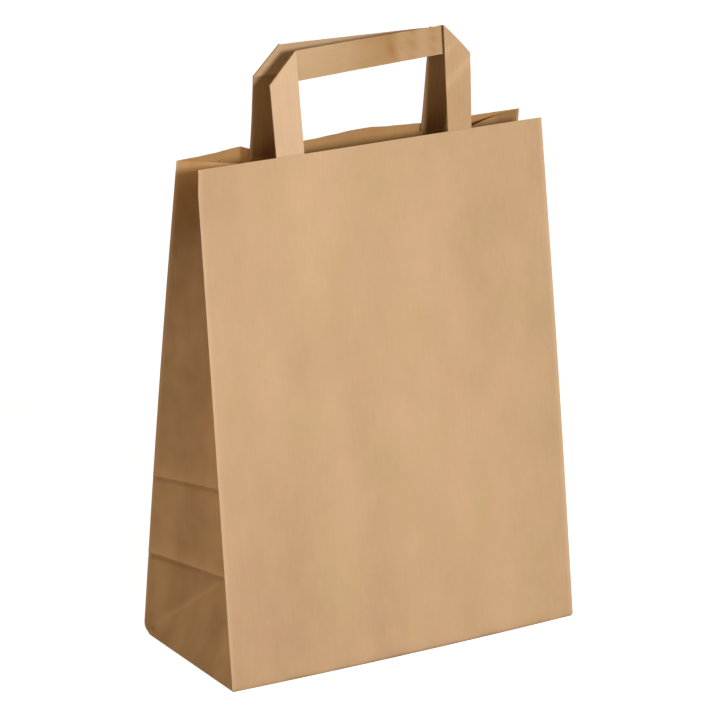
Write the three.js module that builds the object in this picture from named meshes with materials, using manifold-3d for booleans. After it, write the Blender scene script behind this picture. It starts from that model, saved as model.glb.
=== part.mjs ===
// A flat-handled paper carrier bag with side gussets and a folded block bottom.
// Units are millimetres, +Z is up, +X runs along the front panel and +Y points to the back panel.
// The origin is the centre of the underside. Every piece is a sheet of paper: its folded middle
// surface is laid out face by face and then given its thickness.
import * as THREE from 'three';
import { mergeVertices } from 'three/addons/utils/BufferGeometryUtils.js';
import Module from 'manifold-3d';

const wasm = await Module();
wasm.setup();

// Sizes of the bag as it is sold: width, gusset depth and length of the panels.
const bagWidth = 240;
const bagDepth = 110;
const bagHeight = 310;

// How the opened bag stands.
const mouthSetback = 43; // each panel's top edge stands this far inside its bottom edge
const mouthInset = 2; // the rounded fold edges draw each end of the mouth in by this
const creaseDrift = 8; // the gusset's centre crease lies this far forward at the mouth
const ridgeHeight = 0.8; // the cross crease stands out of the back panel by this

// Paper and glue.
const paper = 0.14; // thickness of the sheet that the bag is folded from
const plyPitch = 0.126; // distance between the middles of two plies glued flat together
const glueGap = 0.3; // room for the glue between separate pieces
const bottomLap = 22; // overlap of the two bottom flaps
const lapStep = 3; // length over which the upper flap climbs onto the lower one
const seamWidth = 18; // the lengthwise seam that closes the tube
const seamInset = 1; // distance of the seam's edge from the fold beside it

// Handles: two flat tapes, each turned over twice at 45 degrees.
const tapeWidth = 19;
const tapeThickness = 0.6;
const tapeGap = 0.3; // air between the two layers at a turned corner
const handleSpan = 137; // over the outer edges of the two legs
const handleRise = 63; // from the mouth to the top edge of the tape
const handleTuck = 42; // length of the legs that is glued inside the bag
const frontHandleShift = 1.5; // each handle sits a little off the middle
const rearHandleShift = -1.5;

// Reinforcing patches, glued over the legs inside the bag.
const patchWidth = 172;
const patchHeight = 40;
const patchDrop = 5; // distance of the patch's top edge below the mouth
const patchRun = 1.5; // width of the slope where the patch climbs over a leg

// Fineness of the curved gussets.
const gussetColumns = 6;
const gussetRows = 14;

// Places that follow from the sizes above.
const halfWidth = bagWidth / 2 - paper / 2;
const halfDepth = bagDepth / 2 - paper / 2;
const sinLean = mouthSetback / bagHeight;
const cosLean = Math.sqrt(1 - sinLean * sinLean);
const floorLevel = 2 * plyPitch + paper / 2; // middle of the inner ply of the bottom
const mouthHalfWidth = halfWidth - mouthInset;

const vec = (x, y, z) => new THREE.Vector3(x, y, z);
const mix = (a, b, t) => a.clone().lerp(b, t);

// Points from a to b, both included.
function row(a, b, steps) {
  return Array.from({ length: steps + 1 }, (_, i) => mix(a, b, i / steps));
}

// The same point or points on the other side of the plane X = 0.
const mirrored = (points) => points.map((p) => vec(-p.x, p.y, p.z));

// A folded middle surface, as points and triangles that all turn the same way round.
class Sheet {
  constructor() {
    this.points = [];
    this.faces = [];
    this.places = new Map();
  }

  point(p) {
    const key = [p.x, p.y, p.z].map((value) => value.toFixed(4)).join();
    if (!this.places.has(key)) {
      this.places.set(key, this.points.length);
      this.points.push(p.clone());
    }
    return this.places.get(key);
  }

  face(...corners) {
    const ring = corners.map((p) => this.point(p));
    const clean = ring.filter((id, i) => id !== ring[(i + 1) % ring.length]);
    for (let i = 2; i < clean.length; i += 1) {
      this.faces.push([clean[0], clean[i - 1], clean[i]]);
    }
  }

  // Joins two rows of points, with the second row on the left of the first one.
  strip(first, second) {
    for (let i = 1; i < first.length; i += 1) {
      this.face(first[i - 1], first[i], second[i], second[i - 1]);
    }
  }

  // Adds the same surface on the other side of the plane X = 0, with its faces turned round.
  addMirror() {
    for (const [a, b, c] of [...this.faces]) {
      this.face(...mirrored([this.points[a], this.points[c], this.points[b]]));
    }
  }
}

// For each point, the step that moves every face around it outwards by one unit.
function offsetSteps(sheet) {
  const softness = 1e-6;
  const sums = sheet.points.map(() => ({
    grid: new THREE.Matrix3().multiplyScalar(softness),
    side: vec(0, 0, 0),
  }));
  for (const ids of sheet.faces) {
    const [a, b, c] = ids.map((id) => sheet.points[id]);
    const n = new THREE.Triangle(a, b, c).getNormal(vec(0, 0, 0));
    for (const id of ids) {
      const e = sums[id].grid.elements;
      const parts = [n.x, n.y, n.z];
      for (let k = 0; k < 9; k += 1) {
        e[k] += parts[k % 3] * parts[Math.floor(k / 3)];
      }
      sums[id].side.add(n);
    }
  }
  return sums.map(({ grid, side }) => side.applyMatrix3(grid.invert()));
}

// Gives a middle surface its thickness: an outer skin, an inner skin and a cut edge all round.
function thicken(sheet, thickness) {
  const steps = offsetSteps(sheet);
  const count = sheet.points.length;
  const positions = [];
  for (const side of [thickness / 2, -thickness / 2]) {
    sheet.points.forEach((p, i) => positions.push(...p.clone().addScaledVector(steps[i], side).toArray()));
  }
  const indices = [];
  const edges = new Set(sheet.faces.flatMap(([a, b, c]) => [`${a},${b}`, `${b},${c}`, `${c},${a}`]));
  for (const [a, b, c] of sheet.faces) {
    indices.push(a, b, c, a + count, c + count, b + count);
  }
  for (const edge of edges) {
    const [a, b] = edge.split(',').map(Number);
    if (!edges.has(`${b},${a}`)) {
      indices.push(a, a + count, b, b, a + count, b + count);
    }
  }
  const geometry = new THREE.BufferGeometry();
  geometry.setAttribute('position', new THREE.Float32BufferAttribute(positions, 3));
  geometry.setIndex(indices);
  return geometry;
}

// Joins closed geometries into one.
function join(geometries) {
  const solids = geometries.map((geometry) => {
    const merged = mergeVertices(geometry);
    return new wasm.Manifold(new wasm.Mesh({
      numProp: 3,
      vertProperties: new Float32Array(merged.attributes.position.array),
      triVerts: new Uint32Array(merged.index.array),
    }));
  });
  const mesh = solids.reduce((sum, solid) => sum.add(solid)).getMesh();
  const joined = new THREE.BufferGeometry();
  joined.setAttribute('position', new THREE.BufferAttribute(mesh.vertProperties, 3));
  joined.setIndex(new THREE.BufferAttribute(mesh.triVerts, 1));
  return joined;
}

// A point on a panel: x along it and length up the paper from the bottom fold, raised inwards.
function onPanel(side, x, length, inwards = 0) {
  const y = side * (halfDepth - length * sinLean - inwards * cosLean);
  const z = floorLevel + length * cosLean - inwards * sinLean;
  return vec(x, y, z);
}

// Half width of a panel at a length up the paper.
const panelHalfWidth = (length) => halfWidth - (mouthInset * length) / bagHeight;

// The main points of the left gusset. Its bottom triangle turns about the bottom fold until its
// point meets the front edge at 45 degrees, so the paper keeps its size.
function gussetPoints() {
  const apexRise = (halfDepth * (1 - sinLean)) / cosLean;
  const apexTuck = Math.sqrt(halfDepth * halfDepth - apexRise * apexRise);
  const apex = vec(-halfWidth + apexTuck, 0, floorLevel + apexRise);
  const backTop = onPanel(1, -mouthHalfWidth, bagHeight);
  const frontTop = onPanel(-1, -mouthHalfWidth, bagHeight);
  const reach = Math.sqrt(halfDepth * halfDepth - (backTop.y + creaseDrift) ** 2);
  const creaseX = -mouthHalfWidth + reach;
  const creaseLength = bagHeight - halfDepth;
  const sideways = Math.hypot(creaseX - apex.x, creaseDrift);
  const creaseTop = vec(creaseX, -creaseDrift, apex.z + Math.sqrt(creaseLength ** 2 - sideways ** 2));
  const frontCorner = onPanel(-1, -halfWidth, 0);
  const backCorner = onPanel(1, -halfWidth, 0);
  const backCrease = onPanel(1, -panelHalfWidth(halfDepth), halfDepth, -ridgeHeight);
  return { apex, backTop, frontTop, creaseTop, frontCorner, backCorner, backCrease };
}

// The bag itself: two panels, two gussets and the inner ply of the bottom, folded from one sheet.
function wallSheet() {
  const g = gussetPoints();
  const sheet = new Sheet();
  const frontDiagonal = row(g.frontCorner, g.apex, gussetColumns);
  const backDiagonal = row(g.backCorner, g.apex, gussetColumns);
  const crossCrease = row(g.backCrease, g.apex, gussetColumns);
  const frontEdge = row(g.frontCorner, g.frontTop, gussetRows);
  const centreCrease = row(g.apex, g.creaseTop, gussetRows);
  const backEdge = row(g.backCrease, g.backTop, gussetRows);
  const frontHalf = frontEdge.map((p, i) => row(p, centreCrease[i], gussetColumns));
  const backHalf = backEdge.map((p, i) => row(p, centreCrease[i], gussetColumns));
  sheet.strip(frontDiagonal, backDiagonal);
  sheet.strip(backDiagonal, crossCrease);
  for (let i = 1; i <= gussetRows; i += 1) {
    sheet.strip(frontHalf[i], frontHalf[i - 1]);
    sheet.strip(backHalf[i - 1], backHalf[i]);
  }
  sheet.addMirror();
  const backRows = [g.backCorner, ...backEdge];
  sheet.strip(mirrored(frontEdge), frontEdge);
  sheet.strip(backRows, mirrored(backRows));
  sheet.face(g.frontCorner, g.backCorner, ...mirrored([g.backCorner, g.frontCorner]));
  return sheet;
}

// A bottom flap with 45 degree ends. Each stop is a distance in from the fold and a level.
function flapSheet(side, stops) {
  const sheet = new Sheet();
  const rows = stops.map(([inwards, level]) => {
    const end = vec(halfWidth - inwards, side * (halfDepth - inwards), level);
    return [end, ...mirrored([end])];
  });
  for (let i = 1; i < rows.length; i += 1) {
    sheet.strip(rows[i - 1], rows[i]);
  }
  return sheet;
}

// The two flaps that close the bottom. The back one ends on top of the front one.
function bottomFlaps() {
  const reach = halfDepth + bottomLap / 2;
  const lapStart = halfDepth - bottomLap / 2;
  const outer = floorLevel - plyPitch;
  const outermost = floorLevel - 2 * plyPitch;
  const front = flapSheet(-1, [[0, outer], [reach, outer]]);
  const climb = [[lapStart - lapStep, outer], [lapStart, outermost]];
  const back = flapSheet(1, [[0, outer], ...climb, [reach, outermost]]);
  return [thicken(front, paper), thicken(back, paper)];
}

// The lengthwise seam: the sheet's last edge, glued on the outside of the back panel.
function seam() {
  const sheet = new Sheet();
  const cross = halfDepth;
  const rows = [[0, 0], [cross, ridgeHeight], [bagHeight, 0]].map(([length, ridge]) => {
    const outside = -plyPitch - ridge;
    const outerEdge = panelHalfWidth(length) - seamInset;
    return [onPanel(1, outerEdge, length, outside), onPanel(1, outerEdge - seamWidth, length, outside)];
  });
  sheet.strip(rows[0], rows[1]);
  sheet.strip(rows[1], rows[2]);
  return thicken(sheet, paper);
}

// Shared heights of the layers over a panel's inner face, measured from the panel's middle.
const legLevel = paper / 2 + glueGap + tapeThickness / 2;
const stripLevel = legLevel + tapeThickness + tapeGap;
const patchLow = paper / 2 + glueGap + paper / 2;
const patchHigh = legLevel + tapeThickness / 2 + glueGap + paper / 2;

// A handle: leg, 45 degree turn, cross strip, 45 degree turn, leg. The strip lies on the legs'
// inner side.
function handleGeometry(side, shift) {
  const outer = handleSpan / 2;
  const inner = outer - tapeWidth;
  const top = bagHeight + handleRise;
  const foot = bagHeight - handleTuck;
  const place = (x, length, level) => onPanel(side, x + shift, length, level);
  const half = (sign) => [
    [place(sign * outer, foot, legLevel), place(sign * inner, foot, legLevel)],
    [place(sign * outer, top - tapeWidth, legLevel), place(sign * inner, top, legLevel)],
    [place(sign * outer, top - tapeWidth, stripLevel), place(sign * inner, top, stripLevel)],
  ];
  const rows = [...half(-1), ...half(1).reverse()];
  const sheet = new Sheet();
  for (let i = 1; i < rows.length; i += 1) {
    sheet.strip(rows[i - 1], rows[i]);
  }
  return thicken(sheet, tapeThickness);
}

// A patch, glued to the panel between the legs and climbing over each leg.
function patchGeometry(side, shift) {
  const outer = handleSpan / 2;
  const inner = outer - tapeWidth;
  const clear = glueGap + patchRun;
  const climb = [
    [-patchWidth / 2, patchLow],
    [-outer - clear, patchLow],
    [-outer - glueGap, patchHigh],
    [-inner + glueGap, patchHigh],
    [-inner + clear, patchLow],
  ];
  const profile = [...climb, ...climb.map(([x, level]) => [-x, level]).reverse()];
  const line = (length) => profile.map(([x, level]) => onPanel(side, x + shift, length, level));
  const top = bagHeight - patchDrop;
  const sheet = new Sheet();
  sheet.strip(line(top - patchHeight), line(top));
  return thicken(sheet, paper);
}

const kraftOutside = { color: 0xc9a277, roughness: 0.85, metalness: 0 };
const kraftTape = { color: 0xc39c70, roughness: 0.85, metalness: 0 };
const kraftInside = { color: 0xb08a5f, roughness: 0.88, metalness: 0 };

function piece(name, geometry, finish) {
  const mesh = new THREE.Mesh(geometry, new THREE.MeshStandardMaterial(finish));
  mesh.name = name;
  return mesh;
}

const bag = new THREE.Group();
bag.add(
  piece('bag_body', join([thicken(wallSheet(), paper), ...bottomFlaps(), seam()]), kraftOutside),
  piece('front_handle', handleGeometry(-1, frontHandleShift), kraftTape),
  piece('rear_handle', handleGeometry(1, rearHandleShift), kraftTape),
  piece('front_handle_patch', patchGeometry(-1, frontHandleShift), kraftInside),
  piece('rear_handle_patch', patchGeometry(1, rearHandleShift), kraftInside),
);

export default bag;
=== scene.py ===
import math
import bpy
from mathutils import Matrix, Vector, noise


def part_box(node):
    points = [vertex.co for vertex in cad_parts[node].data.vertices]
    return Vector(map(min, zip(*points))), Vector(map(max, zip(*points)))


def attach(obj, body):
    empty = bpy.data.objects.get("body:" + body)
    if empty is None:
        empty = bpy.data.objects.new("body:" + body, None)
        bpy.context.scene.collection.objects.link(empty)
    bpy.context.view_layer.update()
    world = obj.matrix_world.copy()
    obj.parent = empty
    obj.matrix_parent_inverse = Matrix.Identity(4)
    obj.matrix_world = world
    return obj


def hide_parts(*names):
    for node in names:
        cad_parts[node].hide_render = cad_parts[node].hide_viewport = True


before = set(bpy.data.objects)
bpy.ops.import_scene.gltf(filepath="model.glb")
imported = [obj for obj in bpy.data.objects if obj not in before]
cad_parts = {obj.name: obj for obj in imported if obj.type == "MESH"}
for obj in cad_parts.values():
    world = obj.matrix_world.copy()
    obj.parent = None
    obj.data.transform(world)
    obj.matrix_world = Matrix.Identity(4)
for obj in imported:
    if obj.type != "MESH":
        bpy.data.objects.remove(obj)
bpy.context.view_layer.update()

mm = 0.001

# The bag's outer sizes come from the frame.
bodyLow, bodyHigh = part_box("bag_body")

paper = {
    "thickness": 0.14 * mm,
    "plyPitch": 0.126 * mm,     # distance between the middles of two plies glued together
    "glue": 0.3 * mm,           # glue between separate pieces
}
halfWidth = bodyHigh[0] - paper["thickness"] / 2
halfDepth = -bodyLow[1] - paper["thickness"] / 2
floorLevel = 2 * paper["plyPitch"] + paper["thickness"] / 2

# How the sheet is folded and how the bag stands. Lengths run up the paper from the bottom fold.
# An end is -1 or 1 along X and a face is -1 or 1 along Y.
bag = {
    "length": 310 * mm,
    "setback": 43 * mm,         # each panel leans in by this at the mouth
    "mouthInset": 2 * mm,       # the rounded folds draw the ends of the mouth in
    "crossCrease": 55 * mm,     # sharp crease across the back panel and the gussets' back halves
    "softCrease": 106 * mm,     # soft crease, pressed in by the edge of the folded bottom
    "apexTuck": 25 * mm,        # the point of the bottom triangle is pushed in by this
    "apexDrift": -3 * mm,
    "mouthTuck": 51.3 * mm,     # the gusset's centre crease is pushed in by this at the mouth
    "mouthDrift": {-1: -8 * mm, 1: -3 * mm},
    "bows": {(-1, -1): 0.0 * mm, (1, -1): 1.3 * mm, (-1, 1): 2.1 * mm, (1, 1): 1.4 * mm},
    "turnUnder": 0.8 * mm,      # the walls curl in by this at the bottom fold
    "hugFrom": 150 * mm,        # above this the right gusset's back half nears the back panel
    "hugPower": 2.2,
    "curlReach": 16 * mm,       # the front left corner of the mouth curls in over this length
    "curlShift": (1.5 * mm, 0.6 * mm, -0.2 * mm),
    "bluntReach": 7 * mm,       # the rear left bottom corner is blunt within this distance
    "bluntShift": (1.8 * mm, -1.2 * mm, 0.5 * mm),
}
sinLean = bag["setback"] / bag["length"]
cosLean = math.sqrt(1 - sinLean ** 2)

swells = {
    "belly": 1.2 * mm,
    "foot": 2.4 * mm,           # the front panel's bottom edge swells forward
    "footReach": 42 * mm,
    "ripple": 0.5 * mm,
    "rimReach": 110 * mm,       # the wave of the rim fades down the back panel over this length
    "rimPower": 1.4,
    # how far the back panel's mouth stands out backwards at places along it, in millimetres
    "rimWave": (
        (-119, 0), (-106, 0.8), (-92, 2.4), (-82, 4.6), (-76, 6.0), (-71.5, 6.2), (-68.5, 0.6),
        (-62, -1.2), (-40, 0.2), (-26, 1.2), (-12, 3.0), (3, 5.2), (15, 5.6), (28, 3.0),
        (42, 1.4), (52, -0.5), (68, -0.8), (90, 0.4), (119, 0),
    ),
}

cells = {
    "panel": 72,                # across a panel
    "gusset": 24,               # across half a gusset
    "rows": (24, 22, 70),       # below the cross crease, up to the soft crease, up to the mouth
    # heights of further rows, in millimetres from the bottom fold and from each crease
    "footRows": (0.3, 0.8, 1.5),
    "crossRows": (-4.2, -3.2, -1.5, -0.8, 0.6, 1.2, 1.8, 3.2),
    "softRows": (-4.4, -3.2, -1.2, -0.4, 0.4, 1.2, 3.2),
}


def smooth(low, high, value):
    t = min(max((value - low) / (high - low), 0.0), 1.0)
    return t * t * (3 - 2 * t)


def bell(centre, spread, value):
    return math.exp(-((value - centre) / spread) ** 2)


def lerp(a, b, t):
    return a + (b - a) * t


# Reads a table of (place, value) pairs, easing from each to the next.
def ease(table, place):
    for (a, low), (b, high) in zip(table, table[1:]):
        if place <= b:
            return lerp(low, high, smooth(a, b, place))
    return table[-1][1]


# Moves a value from its place between some marks to the same place between others.
def stretch(value, marks, places):
    for i in range(1, len(marks)):
        if value <= marks[i] or i == len(marks) - 1:
            t = (value - marks[i - 1]) / (marks[i] - marks[i - 1])
            return lerp(places[i - 1], places[i], t)


# The upright fold between a panel and a gusset.
def foldLine(end, face, length):
    along = length / bag["length"]
    bow = bag["bows"][(end, face)] * math.sin(math.pi * along)
    point = Vector((
        end * (halfWidth - bag["mouthInset"] * along),
        face * (halfDepth - length * sinLean + bow),
        floorLevel + length * cosLean,
    ))
    if (end, face) == (-1, -1):
        curl = smooth(bag["length"] - bag["curlReach"], bag["length"], length)
        point += Vector(bag["curlShift"]) * curl
    return point


# One bottom corner is blunt: how far it moves a point at a height and a distance from the corner.
def cornerShift(end, face, length, away):
    if (end, face) != (-1, 1):
        return Vector((0, 0, 0))
    nearness = max(0.0, 1 - math.hypot(length, away) / bag["bluntReach"])
    return Vector(bag["bluntShift"]) * nearness ** 2


# How far a panel swells out of its flat shape at a place x along it.
def panelSwell(face, x, length):
    u = min(abs(x) / halfWidth, 1.0)
    free = 1 - u ** 2
    along = length / bag["length"]
    swell = swells["belly"] * free * math.sin(math.pi * min(along, 1.0))
    ripple = noise.noise(Vector((x * 16, length * 9, 3.7 * face))) * swells["ripple"]
    swell += ripple * min(1.0, 6 * (1 - u))
    if face == -1:
        swell += swells["foot"] * free * math.exp(-length / swells["footReach"])
    else:
        top = smooth(bag["length"] - swells["rimReach"], bag["length"] + 10 * mm, length)
        swell += ease(swells["rimWave"], x / mm) * mm * top ** swells["rimPower"]
    return swell


# A point of a panel's middle surface, or of the plane above its mouth, raised inwards.
def panelPoint(face, x, length, inwards=0.0):
    inside = min(length, bag["length"])
    left, right = foldLine(-1, face, inside), foldLine(1, face, inside)
    t = (x - left.x) / (right.x - left.x)
    point = left.lerp(right, t)
    outward = Vector((0, face * cosLean, sinLean))
    upward = Vector((0, -face * sinLean, cosLean))
    point += upward * (length - inside)
    point += cornerShift(-1, face, length, x - left.x)
    follow = 1 - smooth(0, 22 * mm, length - bag["length"])
    return point + outward * (panelSwell(face, x, inside) * follow - inwards)


# The point of the bottom triangle.
def apexPoint(end):
    across = math.hypot(bag["apexTuck"], bag["apexDrift"])
    rise = math.sqrt(bag["crossCrease"] ** 2 - across ** 2)
    return Vector((end * (halfWidth - bag["apexTuck"]), bag["apexDrift"], floorLevel + rise))


# The gusset's centre crease, from the point of the bottom triangle to the mouth.
def centreCrease(end, length):
    apex = apexPoint(end)
    run = bag["length"] - bag["crossCrease"]
    inward = bag["mouthTuck"] - bag["apexTuck"]
    drift = bag["mouthDrift"][end] - bag["apexDrift"]
    rise = math.sqrt(run ** 2 - inward ** 2 - drift ** 2)
    t = (length - bag["crossCrease"]) / run
    return apex + Vector((-end * inward, drift, rise)) * t


# A point of a gusset. across is its distance from the centre crease on the flat paper.
def gussetPoint(end, across, length):
    face = -1 if across < 0 else 1
    fromFold = 1 - abs(across) / halfDepth
    low = length / bag["crossCrease"]
    corner = foldLine(end, face, 0)
    middle = (foldLine(end, -1, 0) + foldLine(end, 1, 0)) / 2
    if low <= fromFold:     # in the bottom triangle
        point = corner.lerp(middle, fromFold) + (apexPoint(end) - middle) * low
    elif low <= 1:          # between the triangle and the upright fold
        diagonal = corner.lerp(apexPoint(end), low)
        point = foldLine(end, face, length).lerp(diagonal, fromFold / low)
    else:
        reach = fromFold
        if (end, face) == (1, 1):
            hug = smooth(bag["hugFrom"], bag["length"], length)
            reach = lerp(fromFold, fromFold ** bag["hugPower"], hug)
        fold, crease = foldLine(end, face, length), centreCrease(end, length)
        point = fold.lerp(crease, fromFold)
        point.y = lerp(fold.y, crease.y, reach)
    return point + cornerShift(end, face, length, fromFold * halfDepth)


# How far a gusset's rows slide up the paper, to follow creases that aren't quite level.
def creaseSlide(across, length):
    cross, soft = bag["crossCrease"], bag["softCrease"]
    slide = 3.2 * mm * (1 - abs(across) / halfDepth) * bell(soft, 22 * mm, length)
    if across > 0:
        slide -= 1.5 * mm * across / halfDepth * bell(cross - 2.6 * mm, 1.5 * mm, length)
    return slide


# Ridges and grooves beside the creases: height, distance above the crease's line and spread, in
# millimetres.
reliefBells = {
    "crossRidge": (0.8, 1.4, 1.6),
    "crossGroove": (-0.9, -2.2, 1.5),
    "crossHollow": (-0.35, -7, 4),
    "softRidge": (0.75, 1.5, 2.6),
    "softGroove": (-0.75, -3, 2.2),
    "diagonalRidge": (0.45, 0, 1.3),
    "diagonalHollow": (-0.3, -3, 2),
}


def reliefOf(name, above):
    height, place, spread = reliefBells[name]
    return height * mm * bell(place * mm, spread * mm, above)


# The groove under the cross crease is deep beside the back fold and shallow at the centre crease.
def grooveReach(across):
    return 0.3 + 0.7 * smooth(0.3, 0.75, abs(across) / halfDepth)


# How far a point stands inside the edge of the bottom triangle, across the flat paper.
def fromDiagonal(across, length):
    return halfDepth - abs(across) - length * halfDepth / bag["crossCrease"]


# Relief of the creases, outwards, in a gusset or in a panel.
def creaseRelief(face, across, length, isGusset):
    cross = bag["crossCrease"]
    relief = 0.0
    if face == 1:
        relief += reliefOf("crossRidge", length - cross) + reliefOf("crossHollow", length - cross)
        relief += reliefOf("crossGroove", length - cross) * grooveReach(across)
    above = length - bag["softCrease"]
    strength = 1.0 if isGusset else 0.4 * (face == 1)
    relief += strength * (reliefOf("softRidge", above) + reliefOf("softGroove", above))
    if isGusset:
        diagonal = fromDiagonal(across, length)
        if length < cross:
            relief += reliefOf("diagonalRidge", diagonal) + reliefOf("diagonalHollow", diagonal)
        calm = smooth(0, 25 * mm, halfDepth - abs(across))
        relief += noise.noise(Vector((across * 22, length * 13, 9.1))) * 0.6 * mm * calm
    return relief


# Folds are lighter over these distances: partly worn paper, partly a painted highlight where a
# rounded fold would catch the light. The cross crease has it a little above its line, a painted
# highlight on its ridge.
foldWearAndHighlight = {"fade": 0.8 * mm, "diagonalFade": 0.9 * mm, "crossLine": 1.2 * mm}


# How light a fold is from wear and a painted highlight, 1 on the fold itself.
def foldWearAndHighlightAt(region, across, length):
    if region == "floor":
        return 0.0
    if region == "panel":
        return math.exp(-(halfWidth - abs(across)) / foldWearAndHighlight["fade"])
    cross = bag["crossCrease"]
    lines = [halfDepth - abs(across), length]
    if length > cross:
        lines.append(abs(across))
    if across > 0:
        lines.append(abs(length - cross - foldWearAndHighlight["crossLine"]))
    wearAndHighlight = math.exp(-min(lines) / foldWearAndHighlight["fade"])
    if length < cross + mm:
        diagonal = abs(fromDiagonal(across, length))
        grown = smooth(0, 24 * mm, length)
        wearAndHighlight = max(wearAndHighlight, math.exp(-diagonal / foldWearAndHighlight["diagonalFade"]) * grown)
    return wearAndHighlight


# Painted shade in bands under the creases: amount, distance above the crease and spread, in
# millimetres.
paintedShadeBands = {"crossCrease": (0.5, -1.9, 1.1), "softCrease": (0.3, -2.0, 1.4)}


def paintedShadeBand(name, length):
    amount, above, spread = paintedShadeBands[name]
    return amount * bell(bag[name] + above * mm, spread * mm, length)


# Painted shade beside a crease and at a small dent low beside the back fold, and a painted contact
# shadow along the foot.
def foldShadeAt(region, across, length):
    if region == "floor":
        return 0.0
    if region == "panel":
        # an uneven painted contact shadow along the panels' bottom fold
        uneven = 0.6 + 1.1 * noise.noise(Vector((across * 60, 0, 2)))
        return max(0.0, uneven) * math.exp(-length / (1.5 * mm))
    shade = paintedShadeBand("softCrease", length)
    if across > 0:
        # painted shade in the groove under the cross crease and at a small dent low beside the back
        # fold
        grooveShade = grooveReach(across) * paintedShadeBand("crossCrease", length)
        paintedDentShade = 0.9 * bell(halfDepth - 8 * mm, 4 * mm, across) * bell(5 * mm, 1.6 * mm, length)
        shade = max(shade, grooveShade, paintedDentShade)
    return shade


# Tones are added to the paper's own: above 0 it is lighter and below 0 darker. Some of them are
# painted light and shade, as marked.
gussetTonesAndPaintedLight = {
    # painted shade high in the folds, where light hardly reaches, and painted light at the mouth
    "closeFoldShade": -0.42,         # high in the half that lies close to the back panel
    "narrowFoldShade": -0.15,        # high in the other halves
    "mouth": 0.22,
    "streaks": 0.22,
    "blotches": 0.12,
    "centre": 0.14,             # along the centre crease, above the cross crease
    "centreMiddle": 0.1,        # more of it at mid height
    "triangle": -0.1,
    "underMouth": -0.12,        # beside the upright folds
    # painted light over the creases and painted shade under them
    "crossCrease": {"over": 0.26, "overFade": 9 * mm, "under": -0.2, "underFade": 9 * mm},
    "softCrease": {"over": 0.2, "overFade": 6 * mm, "under": -0.2, "underFade": 4 * mm},
}
panelTones = {"right": -0.12, "foot": -0.07, "corners": -0.08}


# Painted light over a crease and painted shade under it, where light from above falls on the ridge
# and misses the groove.
def creasePaintedLightAndShade(name, length):
    tones = gussetTonesAndPaintedLight[name]
    above = length - bag[name]
    if above >= 0:
        return tones["over"] * math.exp(-above / tones["overFade"])
    return tones["under"] * math.exp(above / tones["underFade"])


# Tone of the gussets: darker in the triangle, painted shade up in the narrow folds where little
# light falls, and painted light at the mouth where light falls in over the front rim.
def gussetToneAndPaintedLight(end, across, length):
    cross = bag["crossCrease"]
    inner = 1 - abs(across) / halfDepth
    # painted shade high in the folds and painted light at the mouth
    if end == 1 and across > 0:
        tone = gussetTonesAndPaintedLight["closeFoldShade"] * smooth(220 * mm, 300 * mm, length)
    else:
        narrowShade = gussetTonesAndPaintedLight["narrowFoldShade"] * smooth(190 * mm, 270 * mm, length)
        tone = lerp(narrowShade, gussetTonesAndPaintedLight["mouth"], smooth(288 * mm, 306 * mm, length))
    tone += gussetTonesAndPaintedLight["streaks"] * noise.noise(Vector((across * 70, length * 12, 4.4)))
    tone += gussetTonesAndPaintedLight["blotches"] * noise.noise(Vector((across * 160, length * 110, 7.7)))
    centre = gussetTonesAndPaintedLight["centre"] + gussetTonesAndPaintedLight["centreMiddle"] * bell(205 * mm, 50 * mm, length)
    tone += centre * inner * smooth(cross, cross + 30 * mm, length)
    tone += gussetTonesAndPaintedLight["triangle"] * smooth(0, 0.3, inner - length / cross)
    tone += gussetTonesAndPaintedLight["underMouth"] * (1 - inner) * bell(275 * mm, 22 * mm, length)
    if across > 0:
        tone += creasePaintedLightAndShade("crossCrease", length)
    return tone + creasePaintedLightAndShade("softCrease", length)


# Tone of the front panel: a little darker to the right, at the foot and in the left corners.
def panelTone(across, length):
    right = smooth(10 * mm, 105 * mm, across)
    left = smooth(-50 * mm, -105 * mm, across)
    foot = smooth(150 * mm, 20 * mm, length)
    corners = left * (smooth(230 * mm, 290 * mm, length) + 0.6 * foot)
    tone = panelTones["right"] * right + panelTones["foot"] * foot * (1 - 1.4 * right)
    return tone + panelTones["corners"] * corners


def clearSelection():
    bpy.ops.object.select_all(action="DESELECT")


def selectOnly(obj):
    clearSelection()
    bpy.context.view_layer.objects.active = obj
    obj.select_set(True)


def startEditing(obj, domain):
    selectOnly(obj)
    bpy.ops.object.mode_set(mode="EDIT")
    bpy.ops.mesh.select_mode(type=domain)
    bpy.ops.mesh.select_all(action="DESELECT")
    bpy.ops.object.mode_set(mode="OBJECT")


# Selects the vertices, edges or faces that pass a test and goes into edit mode.
def pick(obj, domain, test):
    startEditing(obj, domain)
    parts = {"VERT": obj.data.vertices, "EDGE": obj.data.edges, "FACE": obj.data.polygons}[domain]
    for part in parts:
        part.select = bool(test(part))
    bpy.ops.object.mode_set(mode="EDIT")


def stopEditing():
    bpy.ops.object.mode_set(mode="OBJECT")


# Divides the edges that pass a test into a number of equal parts.
def divideEdges(obj, test, count):
    pick(obj, "EDGE", test)
    bpy.ops.mesh.subdivide(number_cuts=count - 1)
    stopEditing()


def ends(obj, edge):
    return [obj.data.vertices[i].co for i in edge.vertices]


# A test for edges that run along an axis, with their middles between two heights.
def edgeAlong(obj, axis, low=-1.0, high=1.0):
    def test(edge):
        a, b = ends(obj, edge)
        step = b - a
        middle = (a + b) / 2
        return abs(step[axis]) > 0.99 * step.length and low < middle.z < high
    return test


def applyModifiers(obj):
    selectOnly(obj)
    for name in [m.name for m in obj.modifiers]:
        bpy.ops.object.modifier_apply(modifier=name)


def applyPlace(obj):
    selectOnly(obj)
    bpy.ops.object.transform_apply(location=True, rotation=True, scale=True)


def joinInto(obj, others):
    selectOnly(obj)
    for other in others:
        other.select_set(True)
    bpy.ops.object.join()


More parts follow.
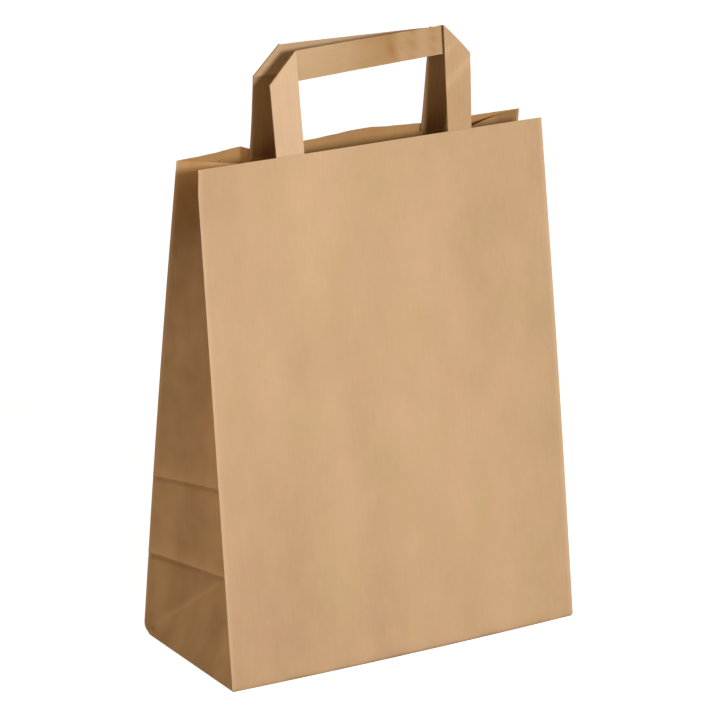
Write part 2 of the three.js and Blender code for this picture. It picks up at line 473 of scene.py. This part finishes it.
def finishPiece(obj, name, material, angle):
    obj.name = name
    obj.data.name = name
    obj.data.materials.clear()
    obj.data.materials.append(material)
    selectOnly(obj)
    bpy.ops.object.shade_smooth_by_angle(angle=math.radians(angle))
    clearSelection()


# Makes a flat grid, one metre wide, for a rectangle of paper.
def makeGrid(columns, rows):
    clearSelection()
    bpy.ops.mesh.primitive_grid_add(x_subdivisions=columns, y_subdivisions=rows, size=1)
    return bpy.context.object


# Writes the paper's own coordinates as a UV map: metres across and along the fibres.
def writePaperMap(obj, across, along):
    layers = obj.data.uv_layers
    layer = layers[0] if layers else layers.new(name="paperMap")
    layer.name = "paperMap"
    for loop in obj.data.loops:
        layer.data[loop.index].uv = (across[loop.vertex_index], along[loop.vertex_index])


# Writes one value for each vertex, for the materials to read.
def writeField(obj, name, values):
    field = obj.data.attributes.new(name=name, type="FLOAT", domain="POINT")
    for i, value in enumerate(values):
        field.data[i].value = value


# Writes how far each point has the browner tone of the paper's inside: fully on the inner one of
# the thickened sheet's two skins, and on the outer one by the given painted shade, which browns the
# gussets' back halves near the mouth. The normals are those of the sheet's middle.
def writeInnerSideAndPaintedShade(obj, normals, outerPaintedShade):
    count = len(normals)
    points = [v.co for v in obj.data.vertices]
    lean = sum((points[i] - points[i + count]).dot(normals[i]) for i in range(count))
    firstIsInner = lean < 0
    tones = []
    for i in range(len(points)):
        isInner = (i < count) == firstIsInner
        tones.append(1.0 if isInner else outerPaintedShade[i % count])
    writeField(obj, "innerSideAndPaintedShade", tones)


def thickenPaper(obj, thickness, even=True):
    solid = obj.modifiers.new("ply", "SOLIDIFY")
    solid.thickness = thickness
    solid.offset = 0
    solid.use_even_offset = even
    solid.use_quality_normals = True
    applyModifiers(obj)


def bisectAt(level):
    bpy.ops.mesh.select_all(action="SELECT")
    bpy.ops.mesh.bisect(plane_co=(0, 0, level), plane_no=(0, 0, 1))


# A test for faces of the gussets' front or back halves, below the cross crease.
def lowGussetFace(side):
    def test(face):
        isLow = abs(face.normal.x) > 0.9 and face.center.z < bag["crossCrease"]
        return isLow and face.center.y * side > 0
    return test


# The box that the sheet is folded round: open at the top, with cells that follow the creases.
def makeFoldingBox():
    length, cross, soft = bag["length"], bag["crossCrease"], bag["softCrease"]
    clearSelection()
    bpy.ops.mesh.primitive_cube_add(size=1, location=(0, 0, length / 2))
    box = bpy.context.object
    box.scale = (2 * halfWidth, 2 * halfDepth, length)
    applyPlace(box)
    pick(box, "FACE", lambda face: face.normal.z > 0.9)
    bpy.ops.mesh.delete(type="FACE")
    bisectAt(cross)
    bisectAt(soft)
    stopEditing()
    divideEdges(box, edgeAlong(box, 0), cells["panel"])
    divideEdges(box, edgeAlong(box, 1), 2 * cells["gusset"])
    bands = ((0, cross), (cross, soft), (soft, length))
    for (low, high), count in zip(bands, cells["rows"]):
        divideEdges(box, edgeAlong(box, 2, low, high), count)
    startEditing(box, "FACE")
    bpy.ops.object.mode_set(mode="EDIT")
    for level, rows in ((0, "footRows"), (cross, "crossRows"), (soft, "softRows")):
        for step in cells[rows]:
            bisectAt(level + step * mm)
    stopEditing()
    for side in (-1, 1):    # the edges of the bottom triangles
        pick(box, "FACE", lowGussetFace(side))
        plane = (0, side * cross, halfDepth)
        bpy.ops.mesh.bisect(plane_co=(0, side * halfDepth, 0), plane_no=plane)
        stopEditing()
    return box


# Which part of the sheet a point of the folding box is in.
def regionOf(point):
    tiny = 0.01 * mm
    if abs(abs(point.y) - halfDepth) < tiny:
        return "panel"
    if point.z < tiny and abs(abs(point.x) - halfWidth) >= tiny:
        return "floor"
    return "gusset"


# Where a point of the bottom ply goes: it follows the swell of the front panel's foot.
def floorPoint(x, y):
    point = Vector((x, y, floorLevel))
    if y < 0:
        point.y -= swells["foot"] * (1 - (x / halfWidth) ** 2) * (y / halfDepth) ** 2
    return point + cornerShift(-1, 1, 0, math.hypot(x + halfWidth, y - halfDepth))


# Writes what the materials read on the bag. Returns how much painted shade each point gets on the
# outside: near the mouth, the back halves of the gussets get a painted shade nearly as brown as the
# inside.
def writeBodyFields(box, flat, regions):
    across, along, wearAndHighlight, shade, tone, paintedShadeBrown = [], [], [], [], [], []
    gussetOffset = 0.3      # sets the gussets' fibres apart from the panels'
    for (x, y, z), region in zip(flat, regions):
        isPanel = region == "panel"
        across.append(x if isPanel else y + math.copysign(gussetOffset, x))
        along.append(y if region == "floor" else z)
        wearAndHighlight.append(foldWearAndHighlightAt(region, x if isPanel else y, z))
        shade.append(foldShadeAt(region, x if isPanel else y, z))
        if region == "gusset":
            tone.append(gussetToneAndPaintedLight(1 if x > 0 else -1, y, z))
            # painted shade on the back halves near the mouth
            paintedShadeBrown.append(0.75 * smooth(255 * mm, 298 * mm, z) if y > 0 else 0.0)
        else:
            tone.append(panelTone(x, z) if isPanel and y < 0 else 0.0)
            paintedShadeBrown.append(0.0)
    writePaperMap(box, across, along)
    writeField(box, "foldWearAndHighlight", wearAndHighlight)
    writeField(box, "foldShade", shade)
    writeField(box, "paperToneAndPaintedLight", tone)
    return paintedShadeBrown


# Folds the box into the bag, still without the creases' relief. Returns the sheet's normals.
def foldSheet(mesh, flat, regions):
    for v, (x, y, z), region in zip(mesh.vertices, flat, regions):
        end, face = 1 if x > 0 else -1, 1 if y >= 0 else -1
        if region == "floor":
            v.co = floorPoint(x, y)
        elif region == "panel":
            reach = abs(foldLine(end, face, z).x)
            v.co = panelPoint(face, x / halfWidth * reach, z)
        else:
            v.co = gussetPoint(end, y, z + creaseSlide(y, z))
    mesh.update()
    return [normal.vector.copy() for normal in mesh.vertex_normals]


# Gives the walls the creases' relief, which fades at the folds, and curls them in at the bottom.
def pressCreases(mesh, flat, regions, normals):
    for v, (x, y, z), region, normal in zip(mesh.vertices, flat, regions, normals):
        if region == "floor":
            continue
        isGusset = region == "gusset"
        fromFold = halfDepth - abs(y) if isGusset else halfWidth - abs(x)
        fade = min(1.0, 0.25 + fromFold / (5 * mm)) * (1.0 if isGusset else 0.5)
        fade *= min(1.0, z / (6 * mm))
        v.co += normal * creaseRelief(1 if y >= 0 else -1, y, z, isGusset) * fade
        curl = bag["turnUnder"] * max(0.0, 1 - z / (1.5 * mm)) ** 2
        if abs(x) > halfWidth - mm:
            v.co.x -= math.copysign(curl, x)
        if abs(y) > halfDepth - mm:
            v.co.y -= math.copysign(curl, y)


def makeBody(material):
    box = makeFoldingBox()
    flat = [v.co.copy() for v in box.data.vertices]
    regions = [regionOf(point) for point in flat]
    paintedShadeBrown = writeBodyFields(box, flat, regions)
    normals = foldSheet(box.data, flat, regions)
    pressCreases(box.data, flat, regions, normals)
    thickenPaper(box, paper["thickness"], False)
    writeInnerSideAndPaintedShade(box, normals, paintedShadeBrown)
    joinInto(box, [makeFlap(-1), makeFlap(1), makeSeam()])
    finishPiece(box, "kraft_bag", material, 32)
    return box


# The bottom's flaps reach past its middle line by the lap. The back one climbs within the step.
# Their free edges get painted shade, edgeShade at the edge, fading over shadeFade.
flaps = {"lap": 11 * mm, "step": 3 * mm, "cells": (36, 22), "edgeShade": 0.7, "shadeFade": 1.5 * mm}
seamStrip = {"width": 18 * mm, "inset": 1 * mm, "cells": (6, 116)}


# A bottom flap with 45 degree ends. The back one climbs onto the front one in the middle.
def makeFlap(face):
    lap = flaps["lap"]
    reach = halfDepth + lap
    pitch = paper["plyPitch"]
    flap = makeGrid(*flaps["cells"])
    shade = []
    for v in flap.data.vertices:
        # painted shade along the flap's free edges
        edge = min((0.5 - v.co.y) * reach, (0.5 - abs(v.co.x)) * halfWidth)
        shade.append(flaps["edgeShade"] * math.exp(-edge / flaps["shadeFade"]))
        inwards = lerp(bag["turnUnder"], reach, v.co.y + 0.5)
        side = v.co.x * 2 * (halfWidth - inwards)
        climb = 0.0
        if face == 1:
            climb = smooth(halfDepth - lap - flaps["step"], halfDepth - lap, inwards)
        place = floorPoint(side, face * (halfDepth - inwards))
        v.co = place - Vector((0, 0, pitch * (1 + climb)))
    across = [v.co.x for v in flap.data.vertices]
    along = [v.co.y for v in flap.data.vertices]
    writePaperMap(flap, across, along)
    writeField(flap, "foldShade", shade)
    thickenPaper(flap, paper["thickness"])
    return flap


# The lengthwise seam: the sheet's last edge, glued on the outside of the back panel.
def makeSeam():
    seam = makeGrid(*seamStrip["cells"])
    across, along = [], []
    for v in seam.data.vertices:
        length = (v.co.y + 0.5) * bag["length"]
        outer = foldLine(1, 1, length).x - seamStrip["inset"]
        x = outer + (v.co.x - 0.5) * seamStrip["width"]
        relief = creaseRelief(1, 0, length, False) * min(1.0, length / (6 * mm))
        v.co = panelPoint(1, x, length, -paper["plyPitch"] - relief)
        across.append(x)
        along.append(length)
    writePaperMap(seam, across, along)
    thickenPaper(seam, paper["thickness"])
    return seam


# Sizes of the flat tapes. Each handle has its own small tilts and swells, as it was glued.
tape = {
    "width": 19 * mm,
    "thickness": 0.6 * mm,
    "span": 137 * mm,           # over the outer edges of the legs
    "rise": 62.4 * mm,          # mouth to the tape's top edge
    "tuck": 42 * mm,            # length glued inside the bag
    "turnGap": 0.3 * mm,        # air between the layers at a turned corner
    "cells": 24,                # across the tape, and along each straight stretch
    "turnCells": 6,             # through the layers at a turn
    # the tape's turns are lighter over this distance, from wear and a painted highlight
    "foldWearAndHighlightFade": 0.7 * mm,
}
tapePitch = tape["thickness"] + tape["turnGap"]
# Places along the panel of the legs' edges, at the mouth and at the top, then the heights of the
# turned corners and the cross strip's lower edge, and of its upper edge, in millimetres. The
# strip's middle bows outwards by the bow, and the handle leans outwards by the lean at each metre.
handles = {
    "front": {
        "face": -1, "mouth": (-64.8, -46.2, 52.4, 68.9), "top": (-66.0, -46.6, 54.2, 72.0),
        "under": (41.9, 42.3, 46.0, 44.4), "over": (59.6, 63.3),
        "bow": -1.0 * mm, "lean": 0.0, "openTurn": 1.5 * mm, "rippleSeed": 25.0,
    },
    "rear": {
        "face": 1, "mouth": (-69.2, -51.0, 47.9, 66.2), "top": (-67.0, -50.0, 53.2, 71.0),
        "under": (43.4, 43.1, 42.8, 42.4), "over": (60.8, 57.7),
        "bow": 0.6 * mm, "lean": 0.135, "openTurn": 0.6 * mm, "rippleSeed": 20.0,
    },
}
# Height of a leg's middle over the middle of its panel.
legLevel = paper["thickness"] / 2 + paper["glue"] + tape["thickness"] / 2

# Places and depths of the bends along the front cross strip, in millimetres.
stripBends = ((-14, 0.25), (15, -0.45), (22, 0.3), (30, -0.5), (37, 0.35), (44, -0.3))
bendSpread = 3.2 * mm


# Extrudes the picked edge by a distance through the layers.
def extrudeThrough(distance):
    bpy.ops.mesh.extrude_region_move(TRANSFORM_OT_translate={"value": (0, distance, 0)})


# A tape folded flat: leg, 45 degree turn, cross strip, 45 degree turn, leg. It is made upright,
# with X across the bag, Y for the layers and Z up the paper.
def makeFlatTape(openTurn):
    outer = tape["span"] / 2
    width = tape["width"]
    top = bag["length"] + tape["rise"]
    foot = bag["length"] - tape["tuck"]
    clearSelection()
    bpy.ops.mesh.primitive_plane_add(size=1, rotation=(math.pi / 2, 0, 0))
    strip = bpy.context.object
    strip.scale = (width, top - foot, 1)
    strip.location = (-outer + width / 2, 0, (top + foot) / 2)
    applyPlace(strip)
    pick(strip, "VERT", lambda v: v.co.z > foot + mm and v.co.x < -outer + mm)
    bpy.ops.transform.translate(value=(0, 0, -width))
    stopEditing()
    pick(strip, "EDGE", lambda e: all(c.z > foot + mm for c in ends(strip, e)))
    extrudeThrough(tapePitch)       # the first turn
    extrudeThrough(openTurn)        # the cross strip, over to the other leg's place
    bpy.ops.transform.resize(value=(-1, 1, 1), center_override=(0, 0, 0))
    extrudeThrough(-tapePitch - openTurn)       # the second turn
    extrudeThrough(0)               # the other leg, down to its foot
    bpy.ops.transform.resize(value=(1, 1, 0), center_override=(0, 0, foot))
    stopEditing()
    divideEdges(strip, lambda e: not edgeAlong(strip, 1)(e), tape["cells"])
    divideEdges(strip, edgeAlong(strip, 1), tape["turnCells"])
    return strip


# Distance from the soft bend that runs diagonally across the front handle's right leg.
def fromLegBend(x, rise):
    return (x - 59 * mm) * 0.6 - (rise - 33 * mm) * 0.8


# Soft bends that the hand has left in the tapes.
def tapeRipple(side, x, rise):
    seed = handles[side]["rippleSeed"]
    ripple = noise.noise(Vector((x * 40, rise * 40, seed))) * 0.35 * mm
    if side == "front" and abs(x) < 48 * mm:
        for centre, depth in stripBends:
            ripple += depth * mm * bell(centre * mm, bendSpread, x)
    if side == "front" and x > 48 * mm:
        ripple += 0.5 * mm * bell(0, 3.5 * mm, fromLegBend(x, rise))
    return ripple


# Moves the flat-folded tape onto its panel and gives it its tilt, bow and bends.
def placeTape(strip, side):
    handle = handles[side]
    half, width = tape["span"] / 2, tape["width"]
    marks = (-half, -half + width, half - width, half)
    levels = (0, tape["rise"] - width, tape["rise"])
    across, along, wearAndHighlight, tone = [], [], [], []
    for v in strip.data.vertices:
        x, layer, z = v.co
        rise = z - bag["length"]
        lift = smooth(0, tape["rise"], rise)
        fromTurn = abs(half - abs(x) - (tape["rise"] - rise))
        isStrip = layer > tapePitch * 0.6 and fromTurn > 0.02 * mm
        up = min(max(rise / tape["rise"], 0.0), 1.0)
        atMouth, atTop = stretch(x, marks, handle["mouth"]), stretch(x, marks, handle["top"])
        movedX = lerp(atMouth, atTop, up) * mm
        under = stretch(x, marks, handle["under"]) * mm
        over = lerp(*handle["over"], (x / half + 1) / 2) * mm
        movedRise = stretch(rise, levels, (0, under, over)) if rise > 0 else rise
        bow = handle["bow"] * (1 - (x / half) ** 2) * smooth(2 * mm, tape["rise"], rise)
        bow += handle["lean"] * max(rise, 0.0)
        inwards = legLevel + layer - bow + tapeRipple(side, x, rise) * lift
        v.co = panelPoint(handle["face"], movedX, bag["length"] + movedRise, inwards)
        # the turned corners are lighter from wear and a painted highlight
        wearAndHighlight.append(math.exp(-fromTurn / tape["foldWearAndHighlightFade"]))
        across.append(z if isStrip else x)
        along.append(x if isStrip else z)
        tone.append(tapeToneAndPaintedLight(side, x, rise, isStrip))
    writePaperMap(strip, across, along)
    writeField(strip, "foldWearAndHighlight", wearAndHighlight)
    writeField(strip, "paperToneAndPaintedLight", tone)


# Tones of the tapes. The rear legs get painted shade, as they lie in the front handle's shadow.
tapeTonesAndPaintedLight = {
    "rearStrip": -0.05, "rearLegsShade": -0.3,
    "strip": -0.33, "stripLeft": 0.27, "stripRight": 0.15, "bendShade": -0.14, "bendLight": 0.05,
    "leftLegLight": 0.18, "rightLegShade": -0.11, "legBendLight": 0.14,
}


# The front cross strip shows the tape's other side, which is a little darker than the legs.
def tapeToneAndPaintedLight(side, x, rise, isStrip):
    if side == "rear":
        # painted shade on the rear legs
        return tapeTonesAndPaintedLight["rearStrip"] if isStrip else tapeTonesAndPaintedLight["rearLegsShade"]
    if isStrip:
        tone = tapeTonesAndPaintedLight["strip"] + tapeTonesAndPaintedLight["stripLeft"] * smooth(10 * mm, -45 * mm, x)
        tone += tapeTonesAndPaintedLight["stripRight"] * smooth(8 * mm, 30 * mm, x)
        # painted shade in the troughs and painted light on the crests of the strip's soft bends
        tone += tapeTonesAndPaintedLight["bendShade"] * sum(bell(place * mm, 2.2 * mm, x) for place in (15, 29, 43))
        tone += tapeTonesAndPaintedLight["bendLight"] * sum(bell(place * mm, 2.6 * mm, x) for place in (-14, 21, 36))
        return tone
    # painted light on the left leg and painted shade on the right one, and painted light along the
    # right leg's diagonal bend
    if x < 0:
        return tapeTonesAndPaintedLight["leftLegLight"]
    return tapeTonesAndPaintedLight["rightLegShade"] + tapeTonesAndPaintedLight["legBendLight"] * bell(0, 2.5 * mm, fromLegBend(x, rise))


def makeHandle(side, name, material):
    strip = makeFlatTape(handles[side]["openTurn"])
    placeTape(strip, side)
    thickenPaper(strip, tape["thickness"], False)
    edge = strip.modifiers.new("pressedEdge", "BEVEL")
    edge.width = 0.12 * mm
    edge.segments = 2
    edge.limit_method = "ANGLE"
    edge.angle_limit = math.radians(50)
    applyModifiers(strip)
    finishPiece(strip, name, material, 35)
    return strip


# The paper glued over the legs inside the bag. It climbs over each leg.
patch = {"width": 172 * mm, "height": 40 * mm, "drop": 5 * mm, "run": 1.8 * mm, "cells": (140, 24)}


def makePatch(side, name, material):
    handle = handles[side]
    legs = [edge * mm for edge in handle["mouth"]]
    middle = (legs[0] + legs[3]) / 2
    low = paper["thickness"] + paper["glue"]
    high = legLevel + tape["thickness"] / 2 + paper["glue"] + paper["thickness"] / 2
    sheet = makeGrid(*patch["cells"])
    across, along = [], []
    for v in sheet.data.vertices:
        x = v.co.x * patch["width"] + middle
        length = bag["length"] - patch["drop"] - (0.5 - v.co.y) * patch["height"]
        fromLeg = min(max(a - x, x - b) for a, b in (legs[:2], legs[2:]))
        climb = 1 - smooth(0.2 * mm, 0.2 * mm + patch["run"], fromLeg)
        v.co = panelPoint(handle["face"], x, length, lerp(low, high, climb))
        across.append(x)
        along.append(length)
    writePaperMap(sheet, across, along)
    thickenPaper(sheet, paper["thickness"])
    finishPiece(sheet, name, material, 40)
    return sheet


# Adds a math node. Each value is a number or another node's output.
def mathNode(tree, kind, *values):
    node = tree.nodes.new("ShaderNodeMath")
    node.operation = kind
    for socket, value in zip(node.inputs, values):
        if isinstance(value, (int, float)):
            socket.default_value = value
        else:
            tree.links.new(value, socket)
    return node.outputs[0]


# Fields of noise in kraft paper: cycles in a metre along X, Y and Z, detail and roughness.
grainFields = {
    "clouds": ((38, 38, 24), 3, 0.55),
    "bands": ((19, 19, 5), 2, 0.5),
    "fibres": ((1500, 1500, 260), 3, 0.6),
    "ribs": ((620, 620, 7), 1, 0.5),
    "flecks": ((900, 900, 330), 2, 0.5),
    "patches": ((31, 31, 17), 4, 0.6),
}
grainAmounts = {"Mottle": 0.26, "Bands": 0.28, "Ribs": 0.09, "Fibres": 0.08, "Flecks": 0.05}
fleckThreshold = 0.68
hueContrast = 2.6


# A node group that gives kraft paper its long fibres, flecks, mottling and faint ribs.
def makeKraftGrain():
    group = bpy.data.node_groups.new("kraftGrain", "ShaderNodeTree")
    face = group.interface
    face.new_socket("Place", in_out="INPUT", socket_type="NodeSocketVector")
    for name, value in grainAmounts.items():
        socket = face.new_socket(name, in_out="INPUT", socket_type="NodeSocketFloat")
        socket.default_value = value
    for name in ("Tone", "Hue", "Height"):
        face.new_socket(name, in_out="OUTPUT", socket_type="NodeSocketFloat")
    nodes, links = group.nodes, group.links
    entry, leave = nodes.new("NodeGroupInput"), nodes.new("NodeGroupOutput")

    def compute(kind, *values):
        return mathNode(group, kind, *values)

    def noiseField(scale, detail, rough):
        mapping = nodes.new("ShaderNodeMapping")
        mapping.inputs["Scale"].default_value = scale
        links.new(entry.outputs["Place"], mapping.inputs["Vector"])
        field = nodes.new("ShaderNodeTexNoise")
        field.inputs["Scale"].default_value = 1.0
        field.inputs["Detail"].default_value = detail
        field.inputs["Roughness"].default_value = rough
        links.new(mapping.outputs["Vector"], field.inputs["Vector"])
        return field.outputs["Fac"]

    fields = {name: noiseField(*values) for name, values in grainFields.items()}
    layers = {"clouds": "Mottle", "bands": "Bands", "ribs": "Ribs", "fibres": "Fibres"}
    tone = 0.5
    for name, amount in layers.items():
        centred = compute("SUBTRACT", fields[name], 0.5)
        tone = compute("MULTIPLY_ADD", centred, entry.outputs[amount], tone)
    isFleck = compute("GREATER_THAN", fields["flecks"], fleckThreshold)
    tone = compute("SUBTRACT", tone, compute("MULTIPLY", isFleck, entry.outputs["Flecks"]))
    hue = compute("MULTIPLY_ADD", compute("SUBTRACT", fields["patches"], 0.5), hueContrast, 0.5)
    hue = compute("MINIMUM", compute("MAXIMUM", hue, 0.0), 1.0)
    height = compute("MULTIPLY_ADD", fields["ribs"], 0.6, fields["fibres"])
    links.new(tone, leave.inputs["Tone"])
    links.new(hue, leave.inputs["Hue"])
    links.new(height, leave.inputs["Height"])
    return group


# The worn colour lightens the folds: partly wear, partly a painted highlight.
kraftTones = {
    "kraft_body": {
        "dark": (0.36, 0.232, 0.126), "light": (0.79, 0.566, 0.364), "wornAndHighlight": (0.76, 0.57, 0.40),
    },
    "kraft_tape": {
        "dark": (0.34, 0.188, 0.062), "light": (0.81, 0.612, 0.440), "wornAndHighlight": (0.78, 0.60, 0.43),
    },
    "kraft_patch": {
        "dark": (0.34, 0.182, 0.064), "light": (0.75, 0.445, 0.182), "wornAndHighlight": (0.72, 0.45, 0.21),
    },
}
kraftFinish = {
    # the colour of the painted shade under creases, along the foot and at the flaps' edges
    "paintedShadeTone": (0.20, 0.105, 0.045),
    # the inner tint is also painted shade on the outside of the gussets' back halves near the mouth
    "innerAndShadeTint": (0.95, 0.77, 0.50),        # the inside of the paper is browner
    "yellowing": (0.965, 1.0, 0.93),        # some patches of the paper are a little yellower
    # how far folds lighten with wear and a painted highlight
    "wornAndHighlightAmount": 0.35,
    "paintedShadeAmount": 0.6,
    "bump": 0.25,
    "bumpDepth": 0.06 * mm,
    "roughness": 0.82,
    "gloss": 0.3,
}


def makeKraft(name, grain, followsTape):
    tones = kraftTones[name]
    material = bpy.data.materials.new(name)
    material.use_nodes = True
    tree = material.node_tree
    nodes, links = tree.nodes, tree.links
    shader = nodes["Principled BSDF"]

    def field(attribute):
        node = nodes.new("ShaderNodeAttribute")
        node.attribute_name = attribute
        return node.outputs["Fac"]

    def blend(amount, a, b, kind="MIX"):
        node = nodes.new("ShaderNodeMix")
        node.data_type = "RGBA"
        node.blend_type = kind
        node.inputs["B"].default_value = (*b, 1)
        links.new(amount, node.inputs["Factor"])
        links.new(a, node.inputs["A"])
        return node.outputs["Result"]

    place = nodes.new("ShaderNodeTexCoord").outputs["Object"]
    if followsTape:     # fibres run along the tape, also on its cross strip
        layout = nodes.new("ShaderNodeUVMap")
        layout.uv_map = "paperMap"
        split = nodes.new("ShaderNodeSeparateXYZ")
        merge = nodes.new("ShaderNodeCombineXYZ")
        links.new(layout.outputs["UV"], split.inputs["Vector"])
        links.new(split.outputs["X"], merge.inputs["X"])
        links.new(split.outputs["Y"], merge.inputs["Z"])
        place = merge.outputs["Vector"]
    fibres = nodes.new("ShaderNodeGroup")
    fibres.node_tree = grain
    links.new(place, fibres.inputs["Place"])
    ramp = nodes.new("ShaderNodeValToRGB")
    ramp.color_ramp.elements[0].color = (*tones["dark"], 1)
    ramp.color_ramp.elements[1].color = (*tones["light"], 1)
    links.new(mathNode(tree, "ADD", fibres.outputs["Tone"], field("paperToneAndPaintedLight")), ramp.inputs["Fac"])
    color = ramp.outputs["Color"]
    color = blend(fibres.outputs["Hue"], color, kraftFinish["yellowing"], "MULTIPLY")
    # folds lighten with wear and a painted highlight
    wornAndHighlight = mathNode(tree, "MULTIPLY", field("foldWearAndHighlight"), kraftFinish["wornAndHighlightAmount"])
    color = blend(wornAndHighlight, color, tones["wornAndHighlight"])
    # painted shade under creases, along the foot and at the flaps' edges
    paintedShade = mathNode(tree, "MULTIPLY", field("foldShade"), kraftFinish["paintedShadeAmount"])
    color = blend(paintedShade, color, kraftFinish["paintedShadeTone"])
    # the paper's browner inside, and painted shade on the gussets' back halves near the mouth
    color = blend(field("innerSideAndPaintedShade"), color, kraftFinish["innerAndShadeTint"], "MULTIPLY")
    links.new(color, shader.inputs["Base Color"])
    bump = nodes.new("ShaderNodeBump")
    bump.inputs["Strength"].default_value = kraftFinish["bump"]
    bump.inputs["Distance"].default_value = kraftFinish["bumpDepth"]
    links.new(fibres.outputs["Height"], bump.inputs["Height"])
    links.new(bump.outputs["Normal"], shader.inputs["Normal"])
    shader.inputs["Roughness"].default_value = kraftFinish["roughness"]
    shader.inputs["Specular IOR Level"].default_value = kraftFinish["gloss"]
    return material


# The camera stands as in the photograph: found from the bag's corners. Angles are in degrees.
photoView = {
    "yaw": 31.19, "pitch": 18.37, "roll": 0.335, "distance": 2.510,
    "aimAcross": -0.0007, "aimUp": 0.1614, "lens": 205.2, "sensor": 36, "farthest": 20,
}


def makeCamera():
    yaw, pitch, roll = (math.radians(photoView[k]) for k in ("yaw", "pitch", "roll"))
    forward = Vector((math.sin(yaw), math.cos(yaw), 0))
    ahead = forward * math.cos(pitch) - Vector((0, 0, math.sin(pitch)))
    right = Vector((math.cos(yaw), -math.sin(yaw), 0))
    up = right.cross(ahead)
    turnedRight = right * math.cos(roll) + up * math.sin(roll)
    turnedUp = up * math.cos(roll) - right * math.sin(roll)
    place = right * photoView["aimAcross"] + up * photoView["aimUp"] - ahead * photoView["distance"]
    data = bpy.data.cameras.new("photoCamera")
    data.sensor_width = photoView["sensor"]
    data.lens = photoView["lens"]
    data.clip_end = photoView["farthest"]
    camera = bpy.data.objects.new("photoCamera", data)
    bpy.context.scene.collection.objects.link(camera)
    turn = Matrix((turnedRight, turnedUp, -ahead)).transposed().to_4x4()
    camera.matrix_world = Matrix.Translation(place) @ turn
    bpy.context.scene.camera = camera


# Angles of the lamps are taken round the bag from straight in front, and above the floor.
studio = {
    "key": {
        "turn": 10, "height": 17, "distance": 2.2, "size": 0.54, "power": 33.5,
        "tint": (1.0, 0.985, 1.01),
    },
    "fill": {
        "turn": -80, "height": 50, "distance": 1.6, "size": 0.4, "power": 4.3,
        "tint": (1.0, 0.75, 0.50),
    },
    "aimHeight": 0.2,
    "room": 0.26, "roomTint": (1.0, 0.69, 0.38),
    "floorSize": 14, "floorColor": (0.72, 0.67, 0.60), "floorRoughness": 0.95, "floorGloss": 0.1,
    "floorGlow": 0.905, "floorTint": (0.906, 0.95, 1.0),
}


def lampDirection(turn, height):
    a, e = math.radians(turn), math.radians(height)
    return Vector((math.sin(a) * math.cos(e), -math.cos(a) * math.cos(e), math.sin(e)))


def makeLamp(name):
    lamp = studio[name]
    data = bpy.data.lights.new(name, "AREA")
    data.shape = "DISK"
    data.size = lamp["size"]
    data.energy = lamp["power"]
    data.color = lamp["tint"]
    away = lampDirection(lamp["turn"], lamp["height"])
    stand = bpy.data.objects.new(name, data)
    bpy.context.scene.collection.objects.link(stand)
    stand.location = away * lamp["distance"] + Vector((0, 0, studio["aimHeight"]))
    stand.rotation_mode = "QUATERNION"
    stand.rotation_quaternion = (-away).to_track_quat("-Z", "Y")


# 1 for what the camera, reflections and clear things see, 0 for the light that falls on things.
def seenDirectly(tree):
    path = tree.nodes.new("ShaderNodeLightPath")
    seen = path.outputs["Is Camera Ray"]
    for kind in ("Is Glossy Ray", "Is Transmission Ray"):
        seen = mathNode(tree, "MAXIMUM", seen, path.outputs[kind])
    return seen


# The room is white where it is seen, and lights the bag with a dim warm tone.
def makeRoom():
    world = bpy.data.worlds.new("room")
    bpy.context.scene.world = world
    world.use_nodes = True
    tree = world.node_tree
    tint = tree.nodes.new("ShaderNodeMix")
    tint.data_type = "RGBA"
    tint.inputs["A"].default_value = (*[studio["room"] * c for c in studio["roomTint"]], 1)
    tint.inputs["B"].default_value = (1, 1, 1, 1)
    tree.links.new(seenDirectly(tree), tint.inputs["Factor"])
    tree.links.new(tint.outputs["Result"], tree.nodes["Background"].inputs["Color"])


# The floor catches the bag's shadow. It glows only where it is seen.
def makeFloor():
    bpy.ops.mesh.primitive_plane_add(size=studio["floorSize"])
    floor = bpy.context.object
    floor.name = "floor"
    material = bpy.data.materials.new("paleFloor")
    material.use_nodes = True
    tree = material.node_tree
    shader = tree.nodes["Principled BSDF"]
    shader.inputs["Base Color"].default_value = (*studio["floorColor"], 1)
    shader.inputs["Roughness"].default_value = studio["floorRoughness"]
    shader.inputs["Specular IOR Level"].default_value = studio["floorGloss"]
    shader.inputs["Emission Color"].default_value = (*studio["floorTint"], 1)
    glow = mathNode(tree, "MULTIPLY", seenDirectly(tree), studio["floorGlow"])
    tree.links.new(glow, shader.inputs["Emission Strength"])
    floor.data.materials.append(material)


makeCamera()
bpy.context.scene.view_settings.view_transform = "Standard"
makeLamp("key")
makeLamp("fill")
makeRoom()
makeFloor()
print("camera and lamps are in place")

grain = makeKraftGrain()
kraft = {name: makeKraft(name, grain, name == "kraft_tape") for name in kraftTones}
print("kraft paper is mixed")

made = (
    (makeBody(kraft["kraft_body"]), "bag_body", "kraft_body"),
    (makeHandle("front", "front_tape", kraft["kraft_tape"]), "front_handle", "kraft_tape"),
    (makeHandle("rear", "rear_tape", kraft["kraft_tape"]), "rear_handle", "kraft_tape"),
    (makePatch("front", "front_patch", kraft["kraft_patch"]), "front_handle_patch", "kraft_patch"),
    (makePatch("rear", "rear_patch", kraft["kraft_patch"]), "rear_handle_patch", "kraft_patch"),
)
for piece, node, slotName in made:
    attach(piece, "root")
    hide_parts(node)
    print(piece.name, "has", len(piece.data.polygons), "faces")
